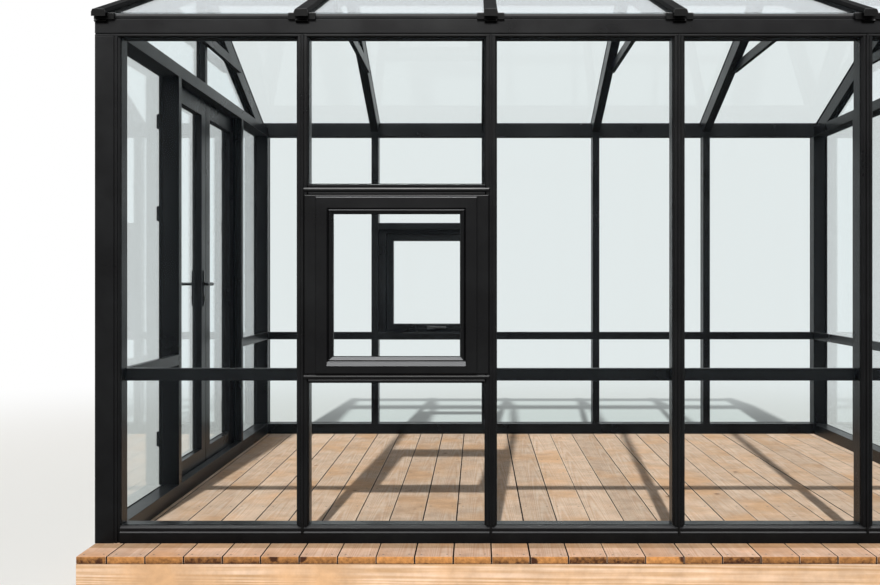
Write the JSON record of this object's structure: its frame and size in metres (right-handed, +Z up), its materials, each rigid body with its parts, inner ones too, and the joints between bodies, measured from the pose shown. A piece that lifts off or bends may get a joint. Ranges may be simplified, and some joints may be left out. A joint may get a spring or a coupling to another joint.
{
  "type": "glass greenhouse",
  "caption": "Walk-in glass greenhouse with a black aluminium frame, gable roof, hinged double door and opening windows, on a timber deck.",
  "frame": {"origin": "middle of the plan, on the underside of the deck's joists where they meet the ground", "axes": "+Z up, +X along the ridge and the long walls; the door gable is at -X and the front of the picture at -Y"},
  "size_m": [3.962, 3.556, 2.8741],
  "materials": {
    "black_aluminium": "satin black powder coat on aluminium extrusion, fine texture",
    "clear_glass": "clear 4 mm toughened glass",
    "decking_boards": "weathered larch decking with narrow gaps",
    "deck_timber": "sawn softwood, lightly weathered",
    "handle_metal": "satin black lacquer on cast metal",
    "hinge_steel": "satin black powder coat on steel",
    "black_plastic": "moulded black nylon"
  },
  "bodies": {
    "greenhouse": {"back_mullions": "black_aluminium", "base_rail_back": "black_aluminium", "base_rail_front": "black_aluminium", "base_rail_right": "black_aluminium", "base_rails_left": "black_aluminium", "collar_ties": "black_aluminium", "corner_posts": "black_aluminium", "deck_end_rims": "deck_timber", "deck_floor": "decking_boards", "deck_joists": "deck_timber", "deck_long_rims": "deck_timber", "door_hinge_plates": "hinge_steel", "door_posts": "black_aluminium", "door_threshold": "black_aluminium", "eave_beam_back": "black_aluminium", "eave_beam_front": "black_aluminium", "eave_blocks": "black_plastic", "front_mullions": "black_aluminium", "gable_rafters": "black_aluminium", "glass_back": "clear_glass", "glass_front": "clear_glass", "glass_left": "clear_glass", "glass_right": "clear_glass", "king_mullions": "black_aluminium", "mid_rails_back": "black_aluminium", "mid_rails_front": "black_aluminium", "mid_rails_left": "black_aluminium", "mid_rails_right": "black_aluminium", "rafter_caps": "black_aluminium", "rafters_back": "black_aluminium", "rafters_front": "black_aluminium", "ridge_beam": "black_aluminium", "ridge_cap": "black_aluminium", "right_gable_posts": "black_aluminium", "roof_glass_back": "clear_glass", "roof_glass_front": "clear_glass", "tie_beam_left": "black_aluminium", "tie_beam_right": "black_aluminium", "window_frames": "black_aluminium", "window_glass": "clear_glass", "window_latches": "black_plastic", "window_sashes": "black_aluminium", "window_transoms": "black_aluminium"},
    "front_leaf": {"front_leaf_frame": "black_aluminium", "front_leaf_glass": "clear_glass", "front_leaf_hinges": "hinge_steel", "handle_plates": "handle_metal"},
    "back_leaf": {"back_leaf_frame": "black_aluminium", "back_leaf_glass": "clear_glass", "back_leaf_hinges": "hinge_steel"},
    "lever": {"lever_handle": "handle_metal"}
  },
  "joints": [
    {"name": "front_leaf_hinge", "type": "hinge", "parent": "greenhouse", "child": "front_leaf", "pos_m": [-1.9635, -0.662, 1.2], "axis": [0, 0, 1], "range_deg": [0, 110]},
    {"name": "back_leaf_hinge", "type": "hinge", "parent": "greenhouse", "child": "back_leaf", "pos_m": [-1.9635, 0.662, 1.2], "axis": [0, 0, -1], "range_deg": [0, 110]},
    {"name": "lever_turn", "type": "hinge", "parent": "front_leaf", "child": "lever", "pos_m": [-1.9275, -0.04625, 1.196], "axis": [1, 0, 0], "range_deg": [0, 40], "stiffness_Nm_per_rad": 1, "springref_deg": -20.05}
  ]
}
